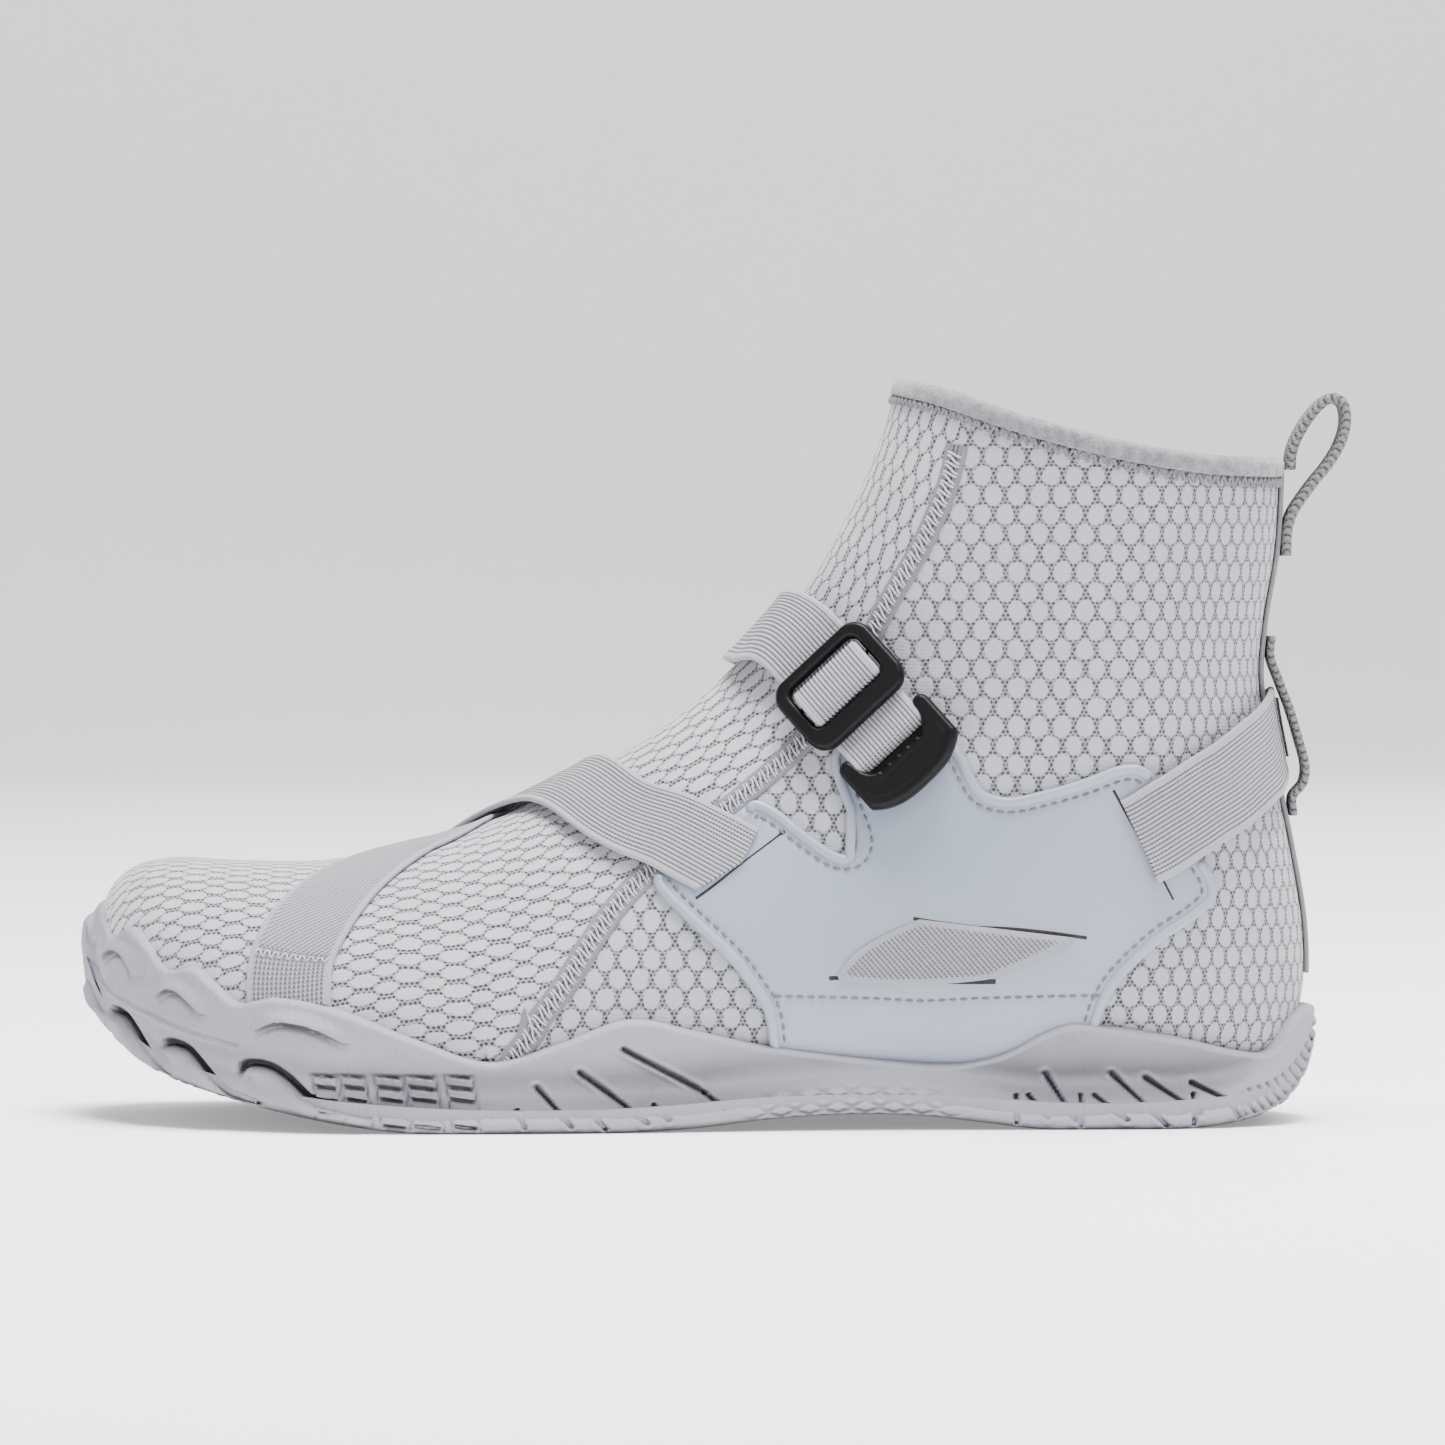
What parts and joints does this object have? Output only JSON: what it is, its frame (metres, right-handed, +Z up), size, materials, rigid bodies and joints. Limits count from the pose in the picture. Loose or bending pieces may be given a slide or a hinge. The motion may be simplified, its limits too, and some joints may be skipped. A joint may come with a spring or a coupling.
{
  "type": "neoprene water boot",
  "caption": "Ankle-high neoprene sock boot on a rubber cup sole, with crossed elastic bands, a heel strap, an adjustable ankle strap with a slide and hook, and a heel pull loop.",
  "frame": {"origin": "middle of the boot's box, on the ground", "axes": "+Z up, toe towards -X and heel towards +X, outer side towards -Y"},
  "size_m": [0.2954, 0.104, 0.1722],
  "materials": {
    "sole_rubber": "fine wrinkled grain",
    "board": "flat woven board",
    "footbed_foam": "brushed foam",
    "knit_vamp": "knitted mesh face",
    "knit_quarter": "knitted mesh face",
    "binding": "brushed",
    "seam_tape": "flat stitched",
    "overlay_skin": "soft moulded, fine grain",
    "piping": "rounded, satin",
    "webbing": "ribbed elastic",
    "tape": "woven webbing",
    "black_plastic": "fine spark texture"
  },
  "bodies": {
    "boot": {"outsole": "sole_rubber", "strobel_board": "board", "footbed": "footbed_foam", "vamp_panel": "knit_vamp", "lateral_quarter": "knit_quarter", "medial_quarter": "knit_quarter", "collar_binding": "binding", "lateral_flatlock_seam": "seam_tape", "medial_flatlock_seam": "seam_tape", "lateral_overlay": "overlay_skin", "medial_overlay": "overlay_skin", "lateral_overlay_piping": "piping", "medial_overlay_piping": "piping", "lateral_arch_band": "webbing", "medial_arch_band": "webbing", "forefoot_band": "webbing", "instep_strap": "webbing", "ankle_strap": "webbing", "heel_strap": "webbing", "heel_tape": "tape", "strap_keeper_loop": "tape", "keeper_lining": "black_plastic", "hook_catch": "black_plastic"},
    "strap_end": {"ankle_strap_tail": "webbing"},
    "adjuster": {"slide_buckle": "black_plastic", "slide_strap_fold": "webbing"},
    "hook": {"strap_hook": "black_plastic"},
    "pull_loop": {"heel_pull_loop": "tape"}
  },
  "joints": [
    {"name": "strap_release", "type": "hinge", "parent": "boot", "child": "strap_end", "pos_m": [0.0215, -0.02145, 0.10986], "axis": [-0.7293, 0.0514, -0.6822], "range_deg": [0, 70]},
    {"name": "adjuster_slide", "type": "slide", "parent": "strap_end", "child": "adjuster", "axis": [0.6142, -0.3902, -0.686], "range_m": [-0.004, 0.004]},
    {"name": "hook_tilt", "type": "hinge", "parent": "strap_end", "child": "hook", "pos_m": [0.04054, -0.03354, 0.0886], "axis": [-0.7293, 0.0514, -0.6822], "range_deg": [0, 14]},
    {"name": "pull_loop_swing", "type": "hinge", "parent": "boot", "child": "pull_loop", "pos_m": [0.1332, -0.0007, 0.1316], "axis": [0, 1, 0], "range_deg": [0, 30], "stiffness_Nm_per_rad": 0.02}
  ]
}
